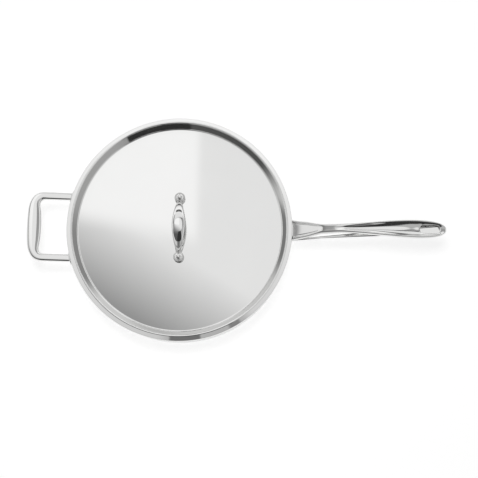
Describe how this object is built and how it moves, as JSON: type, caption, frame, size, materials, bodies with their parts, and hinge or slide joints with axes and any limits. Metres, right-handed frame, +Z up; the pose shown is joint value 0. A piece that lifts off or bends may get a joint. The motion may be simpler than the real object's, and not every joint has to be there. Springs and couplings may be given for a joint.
{
  "type": "saute pan with lid",
  "caption": "Straight-sided lidded saute pan in polished stainless steel with a long cast handle, a loop helper handle and a recessed domed lid with an arched handle.",
  "frame": {"origin": "centre of the flat underside of the pan", "axes": "+X from the pan's centre along the long handle, +Y to the back (the long handle is on the right when seen from the front), +Z up out of the pan"},
  "size_m": [0.5323, 0.288, 0.1018],
  "materials": {
    "lid_steel": "polished",
    "cast_steel": "polished",
    "satin_steel": "satin",
    "brushed_steel": "satin",
    "aluminium": "satin",
    "rivet_steel": "gloss",
    "fastener_steel": "satin"
  },
  "bodies": {
    "pan": {"pan_outer_skin": "satin_steel", "pan_aluminium_core": "aluminium", "pan_inner_skin": "brushed_steel", "long_handle": "cast_steel", "long_handle_rivet_back": "rivet_steel", "long_handle_rivet_front": "rivet_steel", "long_handle_rivet_lower": "rivet_steel", "helper_handle": "cast_steel", "helper_rivet_back_upper": "rivet_steel", "helper_rivet_back_lower": "rivet_steel", "helper_rivet_front_upper": "rivet_steel", "helper_rivet_front_lower": "rivet_steel"},
    "lid": {"lid_shell": "lid_steel", "lid_handle_bridge": "cast_steel", "lid_ball_foot_front": "cast_steel", "lid_ball_foot_back": "cast_steel", "lid_washer_front": "fastener_steel", "lid_washer_back": "fastener_steel", "lid_screw_front": "fastener_steel", "lid_screw_back": "fastener_steel"}
  },
  "joints": [
    {"name": "lid_lift", "type": "slide", "parent": "pan", "child": "lid", "axis": [0, 0, 1], "range_m": [0, 0.12]}
  ]
}
